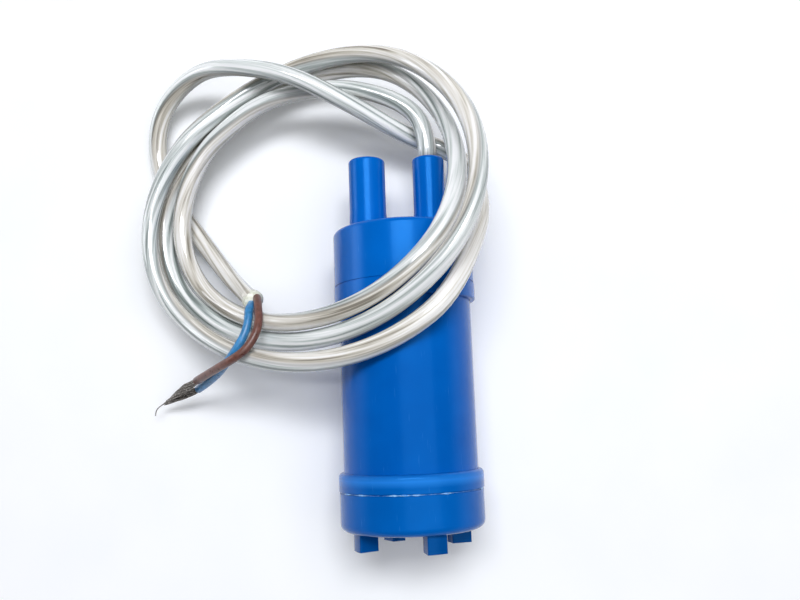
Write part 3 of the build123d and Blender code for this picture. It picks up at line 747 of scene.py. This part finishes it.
# %% [markdown]
# ## Insulation and bare copper
#
# The cores have a smooth, slightly waxy PVC insulation, one blue and one brown. The strands are
# tinned copper that has gone dark and dull in the damp.

# %% Insulation and strands
paint(finish("blue_pvc_insulation", [(0.3, "2c6f9f"), (0.7, "3f92cf")], 1.4, (0.26, 0.4)),
      "blue_wire", "inner_blue_wire")
paint(finish("brown_pvc_insulation", [(0.3, "57342b"), (0.7, "7d5045")], 1.4, (0.26, 0.42)),
      "brown_wire", "inner_brown_wire")
paint(finish("tarnished_tinned_copper", [(0.3, "4a4744"), (0.5, "85807b"), (0.75, "c4beb6")], 0.5, (0.3, 0.5), 0.6),
      "wire_strands")

# %% [markdown]
# ## What is inside
#
# The pieces in the pump aren't in the photograph. Each has the finish that such a piece usually has:
# plated steel for the can and the shaft, sintered bronze for the bushes, pressed ferrite for the
# magnets, enamelled copper for the windings and plain moulded plastics for the rest.

# %% Inner pieces
paint(finish("plated_steel", [(0.3, "a9abad"), (0.7, "c9cacb")], 0.8, (0.24, 0.4), 1.0, 0.002, (1.0, 0.1, 1.0)),
      "motor_can", "magnet_clips", "rotor_shaft")
paint(finish("laminated_iron", [(0.35, "6e6f72"), (0.65, "a4a5a8")], 0.5, (0.35, 0.55), 1.0, 0.01, (0.05, 1.0, 0.05)),
      "armature_core")
paint(finish("sintered_bronze", [(0.35, "8f6a38"), (0.65, "b58e54")], 0.25, (0.4, 0.6), 1.0, 0.01),
      "front_bush", "rear_bush", "brush_arms")
paint(finish("stamped_brass", [(0.35, "b58e45"), (0.65, "d2ad66")], 0.8, (0.25, 0.4), 1.0), "motor_terminals")
paint(finish("enamelled_copper", [(0.35, "8a3f1e"), (0.65, "c9723f")], 0.35, (0.22, 0.4), 0.9, 0.05, (0.4, 0.4, 1.0)),
      "armature_windings")
paint(finish("turned_copper", [(0.35, "b3674a"), (0.65, "d08c6c")], 0.4, (0.25, 0.4), 1.0, 0.002, (1.0, 0.2, 1.0)),
      "commutator")
paint(finish("pressed_ferrite", [(0.35, "252528"), (0.65, "3a3a3e")], 0.3, (0.55, 0.75), 0.0, 0.01),
      "upper_magnet", "lower_magnet")
paint(finish("pressed_carbon", [(0.35, "1e1e20"), (0.65, "333336")], 0.2, (0.5, 0.7), 0.0, 0.01), "carbon_brushes")
paint(finish("nitrile_rubber", [(0.35, "1c1c1d"), (0.65, "2b2b2c")], 0.4, (0.5, 0.7), 0.0, 0.01),
      "lower_sealing_ring", "upper_sealing_ring", "shaft_seal", "gland_sleeve")
paint(finish("moulded_nylon", [(0.35, "66696b"), (0.65, "7a7d7f")], 0.6, (0.4, 0.55), 0.0, 0.01),
      "seal_plate", "motor_capsule", "capsule_plug", "motor_end_bell")
paint(finish("moulded_acetal", [(0.35, "dddcd6"), (0.65, "eeede8")], 0.6, (0.3, 0.45), 0.0, 0.006),
      "impeller", "thrust_washers")
paint(finish("clear_pvc_inside", [(0.35, "c6cbc9"), (0.65, "e6e8e4")], 1.2, (0.16, 0.24), 0.0, 0.01), "inner_sheath")

# %% [markdown]
# ## Floor and light
#
# The pump lies on white card. Most of the light comes from a wide, pale ceiling up on the right, so
# the shadows fall faintly to the left. A narrow skylight beyond the stems gives the head and the
# stems their one soft streak, and a window low on the left puts small glints on the near edges.
# The background is white by its own colour: the camera sees plain white round the card, and the card
# glows a little more with distance, so that it has no far edge. Gloss sees a dim ceiling overhead,
# and only the world's weaker light falls on the object.

# %% Floor
FLOOR_SIZE = 4.0
FLOOR_DROP = 0.15 * MM
CARD_LIFT = 0.09
CARD_NEAR = 0.3
CARD_FAR = 1.1
CARD_STOPS = [(0.3, "f3f5f7"), (0.7, "f8f9fa")]
CARD_FIBRE_MM = 30.0


def make_floor():
    """A white card, far larger than the view."""
    mesh = bmesh.new()
    bmesh.ops.create_grid(mesh, x_segments=1, y_segments=1, size=FLOOR_SIZE / 2,
                          matrix=Matrix.Translation((0.0, 0.0, -FLOOR_DROP)))
    data = bpy.data.meshes.new("floor")
    mesh.to_mesh(data)
    mesh.free()
    return put("floor", data)


def seen_rays(tree):
    """1 for rays that come from the camera, a gloss or a glass, and 0 for rays that carry light."""
    path = add(tree, "ShaderNodeLightPath").outputs
    sharp = add(tree, "ShaderNodeMath", {0: path["Is Camera Ray"], 1: path["Is Glossy Ray"]}, operation="MAXIMUM")
    through = {0: sharp.outputs["Value"], 1: path["Is Transmission Ray"]}
    return add(tree, "ShaderNodeMath", through, operation="MAXIMUM").outputs["Value"]


def white_card():
    """White card that looks white where nothing shades it, and keeps the object's shadow."""
    material, tree, shader, place = new_material("white_card")
    fibre = add(tree, "ShaderNodeTexNoise", {"Vector": place, "Scale": per_mm(CARD_FIBRE_MM), "Detail": GRAIN_DETAIL})
    colour = set_stops(add(tree, "ShaderNodeValToRGB", {"Fac": fibre.outputs["Fac"]}), CARD_STOPS)
    tree.links.new(colour, shader.inputs["Base Color"])
    seen = seen_rays(tree)
    far = add(tree, "ShaderNodeVectorMath", {0: place}, operation="LENGTH").outputs["Value"]
    glow = add(tree, "ShaderNodeMapRange", {"Value": far, "From Min": CARD_NEAR, "From Max": CARD_FAR,
                                            "To Min": CARD_LIFT, "To Max": 1.0})
    lift = add(tree, "ShaderNodeMath", {0: seen, 1: glow.outputs["Result"]}, operation="MULTIPLY")
    tree.links.new(lift.outputs["Value"], shader.inputs["Emission Strength"])
    shader.inputs["Emission Color"].default_value = (1.0, 1.0, 1.0, 1.0)
    shader.inputs["Roughness"].default_value = 0.75
    shader.inputs["Specular IOR Level"].default_value = 0.2
    return material


floor = make_floor()
paint(white_card(), "floor")

# %% World and lamps
WORLD_LIGHT = 0.08
OVERHEAD = 0.22
WALLS_END = 0.1
CEILING_STARTS = 0.35


def make_world():
    """A world that looks white round the object, dim overhead, and lights it softly."""
    world = bpy.data.worlds.new("studio")
    bpy.context.scene.world = world
    world.use_nodes = True
    tree = world.node_tree
    tree.nodes.clear()
    seen = seen_rays(tree)
    way = add(tree, "ShaderNodeTexCoord").outputs["Generated"]
    height = add(tree, "ShaderNodeSeparateXYZ", {"Vector": way}).outputs["Z"]
    room = add(tree, "ShaderNodeMapRange", {"Value": height, "From Min": WALLS_END, "From Max": CEILING_STARTS,
                                            "To Min": 1.0, "To Max": OVERHEAD})
    strength = add(tree, "ShaderNodeMix", {"Factor": seen, "A": WORLD_LIGHT,
                                           "B": room.outputs["Result"]})
    light = add(tree, "ShaderNodeBackground", {"Color": (1.0, 1.0, 1.0, 1.0), "Strength": strength.outputs["Result"]})
    add(tree, "ShaderNodeOutputWorld", {"Surface": light.outputs["Background"]})


def make_lamp(name, place, aim, size, power, tint):
    """A soft panel of light that faces a point of the object."""
    data = bpy.data.lights.new(name, "AREA")
    data.shape = "RECTANGLE"
    data.size, data.size_y = size
    data.energy = power
    data.color = linear(tint)[:3]
    lamp = put(name, data)
    way = (Vector(aim) - Vector(place)).normalized()
    lamp.matrix_world = Matrix.Translation(place) @ way.to_track_quat("-Z", "Y").to_matrix().to_4x4()
    return lamp


make_world()
make_lamp("ceiling", (0.22, 0.08, 0.95), (0.0, 0.02, 0.0), (1.0, 1.0), 5.2, "fbfcff")
make_lamp("skylight", (0.0, 0.31, 0.88), (0.0, 0.02, 0.0), (0.52, 0.22), 5.2, "f8faff")
make_lamp("window", (-1.0, 0.25, 0.2), (0.0, 0.04, 0.02), (0.28, 0.35), 1.2, "f4f8ff")
bpy.context.scene.view_settings.view_transform = "Standard"
